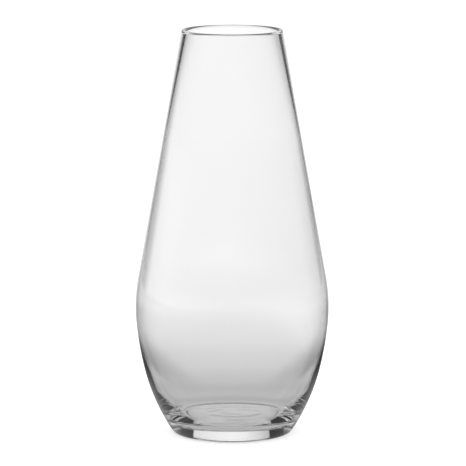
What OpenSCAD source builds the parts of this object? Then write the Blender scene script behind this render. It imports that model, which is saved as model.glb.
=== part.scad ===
// Tall clear-glass flower vase, blown in one piece: a heavy foot, a full belly low down and a
// conical neck that closes in to a round mouth. It is a solid of revolution about Z, and it
// stands on the plane z = 0 with its axis at the origin. Outlines are [radius, height] points.

/* [Overall] */
// Height from the table to the lip
height = 400; // [360:5:480]
// Widest diameter, across the belly
belly_d = 191; // [186:1:200]
// Height of the widest ring above the table
belly_z = 126; // [124:1:130]
// Outer diameter of the neck cone where it ends at the lip
mouth_d = 99; // [84:1:110]

/* [Outer curves] */
// Radius of the arc that turns the belly into the neck cone and into the flank
belly_arc_r = 165; // [150:1:180]
// Radius of the flatter arc of the flank, below the belly
flank_arc_r = 320; // [300:5:340]
// Steepness of the wall from the vertical where the flank begins, in degrees
flank_from = 6; // [5:0.5:8]
// Steepness of the wall from the vertical where the flank ends, in degrees
flank_to = 14; // [12:0.5:16]
// Radius of the arc that draws the heel in to the foot
heel_arc_r = 200; // [195:1:210]
// Radius of the rounded edge round the foot
foot_edge_r = 8; // [5:0.5:9]

/* [Glass thickness] */
// Wall of the belly and the lower neck
wall = 1.7; // [1.5:0.1:2.5]
// Wall at the lip, where the glass is left thick
lip_wall = 5.4; // [5.3:0.1:7]
// Length of neck over which the wall thins from the lip down
lip_taper_h = 110; // [70:5:140]
// Radius of the fire-polished outer edge of the lip
lip_outside_r = 1.6; // [0.5:0.1:1.6]
// Radius of its inner edge, which is rounder, so that nothing flat is left between them
lip_inside_r = 3.2; // [0.5:0.1:3.2]
// Height of the inside floor above the table
floor_z = 14; // [10:0.5:16]

/* [Cavity] */
// Radius of the arc where the inside leaves the belly and the wall starts to thicken
cavity_arc_r = 200; // [196:1:204]
// Steepness of the inside from the vertical where the bowl begins, in degrees
bowl_from = 23; // [22.5:0.5:23.5]
// Radius of the bowl-shaped inside above the foot
bowl_arc_r = 100; // [98:1:102]
// Steepness of the bowl where it rounds into the floor, in degrees
bowl_to = 42; // [38:1:46]

/* [Underside] */
// Width of the flat ring the vase stands on
ring_w = 2.4; // [1:0.1:6]
// Height of the step from that ring up into the recess under the foot
recess_h = 2; // [0.5:0.1:3]
// Width over which the step rises
recess_edge_w = 4.5; // [2:0.5:8]
// Further rise of the recess towards its middle
dome_h = 0.3; // [0.2:0.1:1]

/* [Hidden] */
$fn = 128;
// Largest turn between neighbouring points of an arc, in degrees
arc_step = 2;

// Points of an arc from one direction to another, both in degrees above the outward radius
function steps(from, to) = ceil(abs(to - from) / arc_step);
function arc(centre, r, from, to) =
    [for (i = [0:steps(from, to)])
        let (a = from + (to - from) * i / steps(from, to)) centre + r * [cos(a), sin(a)]];

// Centre of an arc of radius r that carries on smoothly from another arc at direction a
function next_centre(centre, old_r, r, a) = centre + (old_r - r) * [cos(a), sin(a)];

belly_r = belly_d / 2;
mouth_r = mouth_d / 2;

// Outer arcs, each tangent to the next; the last one rounds the foot down to the table
belly_c = [belly_r - belly_arc_r, belly_z];
flank_c = next_centre(belly_c, belly_arc_r, flank_arc_r, -flank_from);
heel_c = next_centre(flank_c, flank_arc_r, heel_arc_r, -flank_to);
foot_edge_reach = sqrt(pow(heel_arc_r - foot_edge_r, 2) - pow(heel_c.y - foot_edge_r, 2));
foot_edge_c = [heel_c.x + foot_edge_reach, foot_edge_r];
heel_to = atan2(heel_c.y - foot_edge_r, foot_edge_reach);

// Lean of the neck cone, from the tangent that runs from the lip down to the belly arc
lip_from_belly = [mouth_r, height] - belly_c;
neck_lean = atan2(lip_from_belly.y, lip_from_belly.x) - acos(belly_arc_r / norm(lip_from_belly));
function neck_r(z) = mouth_r + (height - z) * tan(neck_lean);

// Inside of the neck: parallel to the cone at first, then closing in towards the lip
taper_z = height - lip_taper_h;
taper_r = neck_r(taper_z) - wall / cos(neck_lean);
lip_inner_r = mouth_r - lip_wall;
throat_lean = atan((taper_r - lip_inner_r) / lip_taper_h);

// Centres of the two rounded edges of the lip
lip_outside_z = height - lip_outside_r;
lip_inside_z = height - lip_inside_r;
lip_outer_c = [neck_r(lip_outside_z) - lip_outside_r / cos(neck_lean), lip_outside_z];
lip_inner_c = [lip_inner_r + lip_inside_r * (tan(throat_lean) + 1 / cos(throat_lean)), lip_inside_z];

// Cavity arcs, each tangent to the next, down to a flat floor
cavity_c = [belly_r - wall - cavity_arc_r, belly_z];
bowl_c = next_centre(cavity_c, cavity_arc_r, bowl_arc_r, -bowl_from);
bowl_foot_z = bowl_c.y - bowl_arc_r * sin(bowl_to);
floor_arc_r = (bowl_foot_z - floor_z) / (1 - sin(bowl_to));
floor_c = next_centre(bowl_c, bowl_arc_r, floor_arc_r, -bowl_to);

// Recess under the foot: a very shallow dome, then a smooth step down to the ring
ring_inner_r = foot_edge_c.x - ring_w;
recess_r = ring_inner_r - recess_edge_w;
dome_r = (pow(recess_r, 2) + pow(dome_h, 2)) / (2 * dome_h);
dome_c = [0, recess_h + dome_h - dome_r];
dome_half = asin(recess_r / dome_r);
// Straight parts that the step is drawn with
step_parts = 8;
recess_step = [for (i = [0:step_parts])
    let (t = i / step_parts) [recess_r + recess_edge_w * t, recess_h * (1 + cos(180 * t)) / 2]];

// Outside, from the middle of the underside up to the lip
outer_outline = concat(
    arc(dome_c, dome_r, 90, 90 - dome_half),
    recess_step,
    arc(foot_edge_c, foot_edge_r, -90, -heel_to),
    arc(heel_c, heel_arc_r, -heel_to, -flank_to),
    arc(flank_c, flank_arc_r, -flank_to, -flank_from),
    arc(belly_c, belly_arc_r, -flank_from, 0),
    arc(belly_c, belly_arc_r, 0, neck_lean),
    arc(lip_outer_c, lip_outside_r, neck_lean, 90)
);

// Inside, from the lip down to the middle of the floor
inner_outline = concat(
    arc(lip_inner_c, lip_inside_r, 90, 180 + throat_lean),
    [[taper_r, taper_z]],
    arc(belly_c, belly_arc_r - wall, neck_lean, 0),
    arc(cavity_c, cavity_arc_r, 0, -bowl_from),
    arc(bowl_c, bowl_arc_r, -bowl_from, -bowl_to),
    arc(floor_c, floor_arc_r, -bowl_to, -90),
    [[0, floor_z]]
);

module glass_body() {
    color("whitesmoke", 0.45)
    rotate_extrude()
    polygon(concat(outer_outline, inner_outline));
}

glass_body();
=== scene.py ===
"""Clear-glass flower vase on a plain pale floor, in bright-field studio light."""

import math

import bpy
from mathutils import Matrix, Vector


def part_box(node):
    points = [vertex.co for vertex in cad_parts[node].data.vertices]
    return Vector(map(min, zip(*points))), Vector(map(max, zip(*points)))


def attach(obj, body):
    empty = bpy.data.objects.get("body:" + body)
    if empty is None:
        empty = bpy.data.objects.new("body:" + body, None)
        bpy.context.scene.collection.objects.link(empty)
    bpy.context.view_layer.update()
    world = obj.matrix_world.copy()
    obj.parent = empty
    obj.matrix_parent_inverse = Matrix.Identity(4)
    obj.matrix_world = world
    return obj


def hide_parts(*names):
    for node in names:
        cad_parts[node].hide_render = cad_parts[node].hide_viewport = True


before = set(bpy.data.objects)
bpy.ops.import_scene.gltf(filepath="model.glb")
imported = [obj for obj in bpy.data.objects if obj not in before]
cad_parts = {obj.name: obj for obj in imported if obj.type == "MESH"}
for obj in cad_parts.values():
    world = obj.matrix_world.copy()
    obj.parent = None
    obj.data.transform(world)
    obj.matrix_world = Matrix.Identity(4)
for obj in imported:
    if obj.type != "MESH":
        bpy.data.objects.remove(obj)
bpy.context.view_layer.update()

# ---------------------------------------------------------------- sizes, in metres
NODE = "glass_body"
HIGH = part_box(NODE)[1]
HEIGHT = HIGH.z
MM = 0.001
BELLY_R = HIGH.x

BELLY_Z = 126 * MM
MOUTH_R = 49.5 * MM
BELLY_ARC = 165 * MM
FLANK_ARC, FLANK_FROM, FLANK_TO = 320 * MM, 6, 14
HEEL_ARC = 200 * MM
FOOT_EDGE = 8 * MM
WALL, LIP_WALL, LIP_TAPER = 1.7 * MM, 5.4 * MM, 110 * MM
LIP_OUTSIDE, LIP_INSIDE = 1.6 * MM, 3.2 * MM
FLOOR_Z = 14 * MM
CAVITY_ARC, BOWL_FROM, BOWL_ARC, BOWL_TO = 200 * MM, 23, 100 * MM, 42
RING_W = 2.4 * MM
PUNT_H, PUNT_FLAT = 0.3 * MM, 1 * MM   # rise of the recess to its middle, and radius of the flat there
RECESS = 2.0 * MM
RECESS_EDGE, STEP_PARTS = 4.5 * MM, 8

# painted shade under the foot: a faint darker disc and an uneven darker swirl, which stand in for the inner
# floor and its flow marks seen through the glass
UNDERSIDE_Z, DISC_R, DISC_EDGE, DISC_PAINTED_SHADE = 3.5 * MM, 46 * MM, 1 * MM, 0.15
SWIRL_R, SWIRL_AT, SWIRL_TURN, SWIRL_STRETCH = 40 * MM, (-2 * MM, 4 * MM, 0), 15, 1.6
SWIRL_SCALE, SWIRL_WARP, SWIRL_DETAIL, SWIRL_PAINTED_SHADE, SWIRL_FADE = 18.0, 5.0, 2.0, 0.6, 15 * MM
PATCH_SCALE, PATCH_DETAIL, PATCH_FROM, PATCH_TO = 30.0, 1.0, 0.35, 0.6

TURNS = 256            # points round the vase
ARC_STEP = 1.0         # least turn between points along an arc, in degrees
ARC_CHORD = 0.12 * MM  # least distance between them, which the small arcs of the lip keep to
LINE_STEP = 8 * MM     # most distance between points along a straight stretch
SAME_POINT = 1e-6      # points closer than this are one


def direction(degrees):
    return Vector((math.cos(math.radians(degrees)), math.sin(math.radians(degrees))))


def arc(centre, radius, start, end):
    turn = max(ARC_STEP, math.degrees(ARC_CHORD / radius))
    count = max(2, math.ceil(abs(end - start) / turn))
    return [centre + radius * direction(start + (end - start) * i / count) for i in range(count + 1)]


def line(start, end):
    count = max(1, math.ceil((end - start).length / LINE_STEP))
    return [start.lerp(end, i / count) for i in range(count + 1)]


def next_centre(centre, old, new, degrees):
    return centre + (old - new) * direction(degrees)


def outlines():
    """The outline of the glass as (radius, height) points, up the outside and back down the inside."""
    belly_c = Vector((BELLY_R - BELLY_ARC, BELLY_Z))
    flank_c = next_centre(belly_c, BELLY_ARC, FLANK_ARC, -FLANK_FROM)
    heel_c = next_centre(flank_c, FLANK_ARC, HEEL_ARC, -FLANK_TO)
    reach = math.sqrt((HEEL_ARC - FOOT_EDGE) ** 2 - (heel_c.y - FOOT_EDGE) ** 2)
    edge_c = Vector((heel_c.x + reach, FOOT_EDGE))
    heel_to = math.degrees(math.atan2(heel_c.y - FOOT_EDGE, reach))

    to_lip = Vector((MOUTH_R, HEIGHT)) - belly_c
    lean = math.degrees(math.atan2(to_lip.y, to_lip.x) - math.acos(BELLY_ARC / to_lip.length))
    cos_l, tan_l = math.cos(math.radians(lean)), math.tan(math.radians(lean))

    def neck_r(z):
        return MOUTH_R + (HEIGHT - z) * tan_l

    taper_z = HEIGHT - LIP_TAPER
    taper = Vector((neck_r(taper_z) - WALL / cos_l, taper_z))
    lip_inner = MOUTH_R - LIP_WALL
    throat = math.atan2(taper.x - lip_inner, LIP_TAPER)
    lip_out_c = Vector((neck_r(HEIGHT - LIP_OUTSIDE) - LIP_OUTSIDE / cos_l, HEIGHT - LIP_OUTSIDE))
    lip_in_r = lip_inner + LIP_INSIDE * (math.tan(throat) + 1 / math.cos(throat))
    lip_in_c = Vector((lip_in_r, HEIGHT - LIP_INSIDE))

    cavity_c = Vector((BELLY_R - WALL - CAVITY_ARC, BELLY_Z))
    bowl_c = next_centre(cavity_c, CAVITY_ARC, BOWL_ARC, -BOWL_FROM)
    bowl_foot = bowl_c.y - BOWL_ARC * math.sin(math.radians(BOWL_TO))
    floor_arc = (bowl_foot - FLOOR_Z) / (1 - math.sin(math.radians(BOWL_TO)))
    floor_c = next_centre(bowl_c, BOWL_ARC, floor_arc, -BOWL_TO)

    recess_r = edge_c.x - RING_W - RECESS_EDGE
    punt_top = Vector((PUNT_FLAT, RECESS + PUNT_H))
    shares = [i / STEP_PARTS for i in range(STEP_PARTS + 1)]
    step = [Vector((recess_r + RECESS_EDGE * t, RECESS * (0.5 + 0.5 * math.cos(math.pi * t))))
            for t in shares]

    pieces = [
        line(Vector((0, RECESS + PUNT_H)), punt_top),
        line(punt_top, Vector((recess_r, RECESS))),
        step,
        arc(edge_c, FOOT_EDGE, -90, -heel_to),
        arc(heel_c, HEEL_ARC, -heel_to, -FLANK_TO),
        arc(flank_c, FLANK_ARC, -FLANK_TO, -FLANK_FROM),
        arc(belly_c, BELLY_ARC, -FLANK_FROM, lean),
        line(belly_c + BELLY_ARC * direction(lean), lip_out_c + LIP_OUTSIDE * direction(lean)),
        arc(lip_out_c, LIP_OUTSIDE, lean, 90),
        arc(lip_in_c, LIP_INSIDE, 90, 180 + math.degrees(throat)),
        line(lip_in_c + LIP_INSIDE * direction(180 + math.degrees(throat)), taper),
        line(taper, belly_c + (BELLY_ARC - WALL) * direction(lean)),
        arc(belly_c, BELLY_ARC - WALL, lean, 0),
        arc(cavity_c, CAVITY_ARC, 0, -BOWL_FROM),
        arc(bowl_c, BOWL_ARC, -BOWL_FROM, -BOWL_TO),
        arc(floor_c, floor_arc, -BOWL_TO, -90),
        line(floor_c + floor_arc * direction(-90), Vector((0, FLOOR_Z))),
    ]
    points = []
    for piece in pieces:
        for p in piece:
            if not points or (p - points[-1]).length > SAME_POINT:
                points.append(p)
    return points


def lathe(name, points):
    """A closed solid of revolution; the first and last points are on the axis."""
    verts = [(0, 0, points[0].y)]
    for p in points[1:-1]:
        for k in range(TURNS):
            a = 2 * math.pi * k / TURNS
            verts.append((p.x * math.cos(a), p.x * math.sin(a), p.y))
    verts.append((0, 0, points[-1].y))
    last = len(verts) - 1
    faces = []
    rings = len(points) - 2
    for k in range(TURNS):
        k2 = (k + 1) % TURNS
        faces.append((0, 1 + k2, 1 + k))
        for r in range(rings - 1):
            a, b = 1 + r * TURNS, 1 + (r + 1) * TURNS
            faces.append((a + k, a + k2, b + k2, b + k))
        base = 1 + (rings - 1) * TURNS
        faces.append((last, base + k, base + k2))
    mesh = bpy.data.meshes.new(name)
    mesh.from_pydata(verts, [], faces)
    mesh.polygons.foreach_set("use_smooth", [True] * len(mesh.polygons))
    mesh.update()
    obj = bpy.data.objects.new(name, mesh)
    bpy.context.collection.objects.link(obj)
    return obj


def node(tree, kind, **values):
    made = tree.nodes.new(kind)
    for key, value in values.items():
        setattr(made, key, value)
    return made


def math_node(tree, op, a, b=None):
    m = node(tree, "ShaderNodeMath", operation=op)
    for socket, value in zip(m.inputs, (a, b)):
        if value is None:
            continue
        if isinstance(value, (int, float)):
            socket.default_value = value
        else:
            tree.links.new(value, socket)
    return m.outputs[0]


def mix_value(tree, factor, a, b):
    m = node(tree, "ShaderNodeMix")
    for name, value in (("Factor", factor), ("A", a), ("B", b)):
        if isinstance(value, (int, float)):
            m.inputs[name].default_value = value
        else:
            tree.links.new(value, m.inputs[name])
    return m.outputs["Result"]


def graph(tree, value, points):
    """The level at value on the straight stretches between (value, level) points."""
    low, high = points[0][0], points[-1][0]
    made = node(tree, "ShaderNodeFloatCurve")
    curve = made.mapping.curves[0]
    for i, (x, level) in enumerate(points):
        x = (x - low) / (high - low)
        point = curve.points[i] if i < 2 else curve.points.new(x, level)
        point.location = (x, level)
        point.handle_type = "VECTOR"
    made.mapping.use_clip = False
    made.mapping.update()
    share = math_node(tree, "DIVIDE", math_node(tree, "SUBTRACT", value, low), high - low)
    tree.links.new(share, made.inputs["Value"])
    return made.outputs[0]


def smooth_step(tree, value, start, end):
    m = node(tree, "ShaderNodeMapRange", interpolation_type="SMOOTHSTEP", clamp=True)
    m.inputs["From Min"].default_value = start
    m.inputs["From Max"].default_value = end
    tree.links.new(value, m.inputs["Value"])
    return m.outputs["Result"]


def product(tree, *values):
    result = values[0]
    for value in values[1:]:
        result = math_node(tree, "MULTIPLY", result, value)
    return result


def glass_tint_painted_shade(tree):
    """Colour of the glass: clear, but with painted shade under the foot, a darker disc with an uneven
    darker swirl in it, standing in for the inner floor and its flow marks seen through the glass.
    """
    coords = node(tree, "ShaderNodeTexCoord").outputs["Object"]
    place = node(tree, "ShaderNodeMapping")
    place.inputs["Location"].default_value = SWIRL_AT
    place.inputs["Rotation"].default_value = (0, 0, math.radians(SWIRL_TURN))
    place.inputs["Scale"].default_value = (1, SWIRL_STRETCH, 1)
    tree.links.new(coords, place.inputs["Vector"])
    rings = node(tree, "ShaderNodeTexWave", wave_type="RINGS", rings_direction="Z")
    patches = node(tree, "ShaderNodeTexNoise")
    for texture, values in ((rings, {"Scale": SWIRL_SCALE, "Distortion": SWIRL_WARP,
                                     "Detail": SWIRL_DETAIL}),
                            (patches, {"Scale": PATCH_SCALE, "Detail": PATCH_DETAIL})):
        for socket, value in values.items():
            texture.inputs[socket].default_value = value
        tree.links.new(place.outputs[0], texture.inputs["Vector"])

    xyz = node(tree, "ShaderNodeSeparateXYZ")
    tree.links.new(coords, xyz.inputs[0])
    x, y, z = xyz.outputs
    squares = math_node(tree, "ADD", product(tree, x, x), product(tree, y, y))
    radius = math_node(tree, "SQRT", squares)
    under = math_node(tree, "LESS_THAN", z, UNDERSIDE_Z)
    inside = smooth_step(tree, radius, DISC_R + DISC_EDGE, DISC_R - DISC_EDGE)
    # painted shade: the disc under the foot is darkened in the base colour
    disc = product(tree, under, inside, DISC_PAINTED_SHADE)
    fade = smooth_step(tree, radius, SWIRL_R, SWIRL_R - SWIRL_FADE)
    patch = smooth_step(tree, patches.outputs["Fac"], PATCH_FROM, PATCH_TO)
    # painted shade: an uneven swirl is darkened in the disc
    swirl = product(tree, under, fade, patch, rings.outputs["Fac"], SWIRL_PAINTED_SHADE)
    return math_node(tree, "SUBTRACT", math_node(tree, "SUBTRACT", 1.0, disc), swirl)


def glass_material():
    mat = bpy.data.materials.new("clear_glass")
    mat.use_nodes = True
    tree = mat.node_tree
    shader = tree.nodes["Principled BSDF"]
    shader.inputs["Roughness"].default_value = 0.0
    shader.inputs["IOR"].default_value = 1.5
    shader.inputs["Transmission Weight"].default_value = 1.0
    grey = node(tree, "ShaderNodeCombineColor")
    level = glass_tint_painted_shade(tree)
    for socket in grey.inputs:
        tree.links.new(level, socket)
    tree.links.new(grey.outputs[0], shader.inputs["Base Color"])
    return mat


vase = lathe("vase_glass", outlines())
vase.data.materials.append(glass_material())
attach(vase, "root")
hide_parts(NODE)


# ---------------------------------------------------------------- floor and studio light
# A bright panel stands behind the vase, with darker room on both sides of it. The floor and the
# room are seen two ways: plain and white by the camera, and graded through and in the glass. The
# levels in the tables were set so that the tones through the glass come out as in the reference
# photograph.
# Through the glass the floor carries painted light and shade: the panel's light and the room's dark strips
# by compass direction, and the vase's shadow by distance from it.
FLOOR_R, FLOOR_SIDES = 3.0, 128
FLOOR_DROP = 0.2 * MM
FLOOR_ALBEDO = 0.93
FLOOR_GLOW = 0.32      # light that comes up through the table
DOME = 1.16            # even light on the floor
SHADOW = 0.1           # how much of it is lost through the glass
DEG = 180 / math.pi
ONE_BOUNCE = 0.5       # a depth above this is one bounce or more

# brightness of the floor through glass, by distance from the vase in metres: a painted shadow of the vase,
# darkest just round its foot, with painted caustic rings a little further out
FLOOR_PAINTED_SHADE = [(0.0, 0.54), (0.06, 0.50), (0.08, 0.50), (0.11, 0.60), (0.135, 0.555), (0.16, 0.63),
             (0.21, 0.66), (0.43, 0.83), (0.55, 0.88), (0.76, 0.98), (1.1, 1.05), (3.0, 1.08)]
# share of it by compass direction in degrees from +Y towards +X: far off and low in the room
LOW_ROUND = [(-180, 0.15), (-130, 0.4), (-95, 0.85), (-58, 0.85), (-50, 0.35), (-44, 0.03),
             (-28, 0.03), (-24, 0.35), (-18, 0.68), (-12, 0.85), (-7, 0.96), (-3, 1.0), (0, 0.99),
             (6, 0.92), (10, 0.82), (15, 0.66), (20, 0.45), (24, 0.12), (30, 0.03), (40, 0.03),
             (46, 0.5), (75, 0.5), (100, 0.3), (180, 0.15)]
# the same halfway out, from MID_FROM to LOW_FROM metres, and near the vase, within MID_FROM
MID_ROUND = [(-180, 0.1), (-120, 0.25), (-75, 0.5), (-45, 0.5), (-32, 0.3), (-26, 0.4),
             (-18, 0.72), (-12, 0.86), (-7, 0.96), (-3, 1.0), (0, 0.99), (6, 0.92), (10, 0.82),
             (15, 0.68), (20, 0.5), (26, 0.35), (35, 0.3), (50, 0.4), (75, 0.4), (100, 0.25),
             (180, 0.1)]
NEAR_ROUND = [(-180, 0.15), (-45, 0.15), (-32, 0.25), (-22, 0.55), (-12, 1.0), (12, 1.0),
              (20, 0.6), (30, 0.15), (180, 0.15)]
# the same high in the room, where the heavy foot shows the panel's sharp sides
HIGH_ROUND = [(-180, 0.02), (-26, 0.01), (-25.4, 0.5), (-18, 0.66), (-8, 0.86), (0, 0.92),
              (12, 0.86), (27, 0.76), (27.6, 0.04), (50, 0.03), (180, 0.02)]
# distances at which one of these turns into the next, and the share close to the foot
NEAR_FROM, NEAR_TO, FOOT_SHARE = 0.1, 0.3, 0.9
MID_FROM, MID_TO = 0.7, 1.2
LOW_FROM, LOW_TO = 2.3, 3.0

# plain light on every side but the panel's, for rays that came straight through the vase, so that it
# looks clear from all round; the dark strips beside the panel stay dark, as they draw its outline
OTHER_ROUND = [(-180, 1.05), (-36, 1.05), (-30, 0.8), (-22, 0.0), (22, 0.0), (30, 0.8),
               (36, 1.05), (180, 1.05)]
CROSSED_WALL = 1.5     # a ray that crossed a wall of the vase has passed two surfaces or more
# brightness of the panel by elevation in degrees
PANEL_UP = [(-90, 1.08), (2, 1.08), (8, 1.05), (30, 1.0), (38, 0.6), (44, 0.05), (90, 0.05)]
HIGH_FROM, HIGH_TO = 3, 11     # elevations between which the low room turns into the high one


def compass(tree, coords):
    """Direction of the point or ray in degrees from +Y towards +X, and its x, y, z."""
    xyz = node(tree, "ShaderNodeSeparateXYZ")
    tree.links.new(coords, xyz.inputs[0])
    x, y, z = xyz.outputs
    return math_node(tree, "MULTIPLY", math_node(tree, "ARCTAN2", x, y), DEG), x, y, z


def low_light(tree, azimuth, path, points):
    """The level low in the room, at least OTHER_ROUND for a ray through the wall, never reflected."""
    crossed = math_node(tree, "GREATER_THAN", path.outputs["Transmission Depth"], CROSSED_WALL)
    straight = math_node(tree, "LESS_THAN", path.outputs["Glossy Depth"], ONE_BOUNCE)
    others = product(tree, graph(tree, azimuth, OTHER_ROUND), crossed, straight)
    return math_node(tree, "MAXIMUM", graph(tree, azimuth, points), others)


def floor_material():
    mat = bpy.data.materials.new("floor")
    mat.use_nodes = True
    tree = mat.node_tree
    shader = tree.nodes["Principled BSDF"]
    shader.inputs["Base Color"].default_value = (FLOOR_ALBEDO, FLOOR_ALBEDO, FLOOR_ALBEDO, 1)
    shader.inputs["Roughness"].default_value = 1.0
    shader.inputs["Specular IOR Level"].default_value = 0.0
    shader.inputs["Emission Color"].default_value = (1, 1, 1, 1)
    shader.inputs["Emission Strength"].default_value = FLOOR_GLOW
    coords = node(tree, "ShaderNodeTexCoord")
    azimuth = compass(tree, coords.outputs["Object"])[0]
    length = node(tree, "ShaderNodeVectorMath", operation="LENGTH")
    tree.links.new(coords.outputs["Object"], length.inputs[0])
    away = length.outputs["Value"]
    path = node(tree, "ShaderNodeLightPath")
    near, mid, low = (low_light(tree, azimuth, path, points)
                      for points in (NEAR_ROUND, MID_ROUND, LOW_ROUND))
    round_ = mix_value(tree, smooth_step(tree, away, MID_FROM, MID_TO), near, mid)
    round_ = mix_value(tree, smooth_step(tree, away, LOW_FROM, LOW_TO), round_, low)
    round_ = mix_value(tree, smooth_step(tree, away, NEAR_FROM, NEAR_TO), FOOT_SHARE, round_)
    # painted light and shade on the floor as seen through the glass
    in_glass = math_node(tree, "MULTIPLY", graph(tree, away, FLOOR_PAINTED_SHADE), round_)
    lights_floor = math_node(tree, "GREATER_THAN", path.outputs["Diffuse Depth"], ONE_BOUNCE)
    glow = node(tree, "ShaderNodeEmission")
    tree.links.new(mix_value(tree, lights_floor, in_glass, DOME * FLOOR_ALBEDO), glow.inputs["Strength"])
    through = math_node(tree, "MAXIMUM", path.outputs["Is Transmission Ray"], path.outputs["Is Glossy Ray"])
    mix = node(tree, "ShaderNodeMixShader")
    tree.links.new(through, mix.inputs[0])
    tree.links.new(shader.outputs[0], mix.inputs[1])
    tree.links.new(glow.outputs[0], mix.inputs[2])
    tree.links.new(mix.outputs[0], tree.nodes["Material Output"].inputs["Surface"])
    return mat


def floor_piece():
    mesh = bpy.data.meshes.new("floor")
    turn = 2 * math.pi / FLOOR_SIDES
    verts = [(FLOOR_R * math.cos(k * turn), FLOOR_R * math.sin(k * turn), -FLOOR_DROP)
             for k in range(FLOOR_SIDES)]
    mesh.from_pydata(verts, [], [tuple(range(FLOOR_SIDES))])
    obj = bpy.data.objects.new("floor", mesh)
    bpy.context.collection.objects.link(obj)
    mesh.materials.append(floor_material())
    return obj


def studio():
    world = bpy.data.worlds.new("studio")
    bpy.context.scene.world = world
    world.use_nodes = True
    world.cycles.sampling_method = "NONE"
    tree = world.node_tree
    tree.nodes.clear()
    coords = node(tree, "ShaderNodeTexCoord")
    azimuth, _, _, z = compass(tree, coords.outputs["Generated"])
    elevation = math_node(tree, "MULTIPLY", math_node(tree, "ARCSINE", z), DEG)
    up = smooth_step(tree, elevation, HIGH_FROM, HIGH_TO)
    path = node(tree, "ShaderNodeLightPath")
    low = low_light(tree, azimuth, path, LOW_ROUND)
    round_ = mix_value(tree, up, low, graph(tree, azimuth, HIGH_ROUND))
    in_glass = math_node(tree, "MULTIPLY", round_, graph(tree, elevation, PANEL_UP))

    camera, diffuse = path.outputs["Is Camera Ray"], path.outputs["Is Diffuse Ray"]
    lights_floor = math_node(tree, "GREATER_THAN", path.outputs["Diffuse Depth"], ONE_BOUNCE)
    on_floor = mix_value(tree, diffuse, DOME - SHADOW, DOME)
    level = mix_value(tree, lights_floor, in_glass, on_floor)
    room = node(tree, "ShaderNodeBackground")
    room.inputs["Color"].default_value = (1, 1, 1, 1)
    tree.links.new(mix_value(tree, camera, level, DOME * FLOOR_ALBEDO), room.inputs["Strength"])
    out = node(tree, "ShaderNodeOutputWorld")
    tree.links.new(room.outputs[0], out.inputs["Surface"])


floor_piece()
studio()


# ---------------------------------------------------------------- camera
SENSOR, LENS = 36, 301.7                # millimetres
CAMERA_AT, LOOKS_DOWN = (0.0008, -3.8, 0.786), 8.783    # metres, degrees below level
BOUNCES, GLOSSY_BOUNCES = 24, 16


def camera():
    data = bpy.data.cameras.new("camera")
    data.sensor_width = SENSOR
    data.lens = LENS
    obj = bpy.data.objects.new("camera", data)
    obj.location = CAMERA_AT
    obj.rotation_euler = (math.radians(90 - LOOKS_DOWN), 0, 0)
    bpy.context.collection.objects.link(obj)
    bpy.context.scene.camera = obj


camera()
scene = bpy.context.scene
scene.view_settings.view_transform = "Standard"
scene.cycles.max_bounces = BOUNCES
scene.cycles.transmission_bounces = BOUNCES
scene.cycles.glossy_bounces = GLOSSY_BOUNCES
scene.cycles.use_denoising = True
scene.cycles.denoiser = "OPENIMAGEDENOISE"
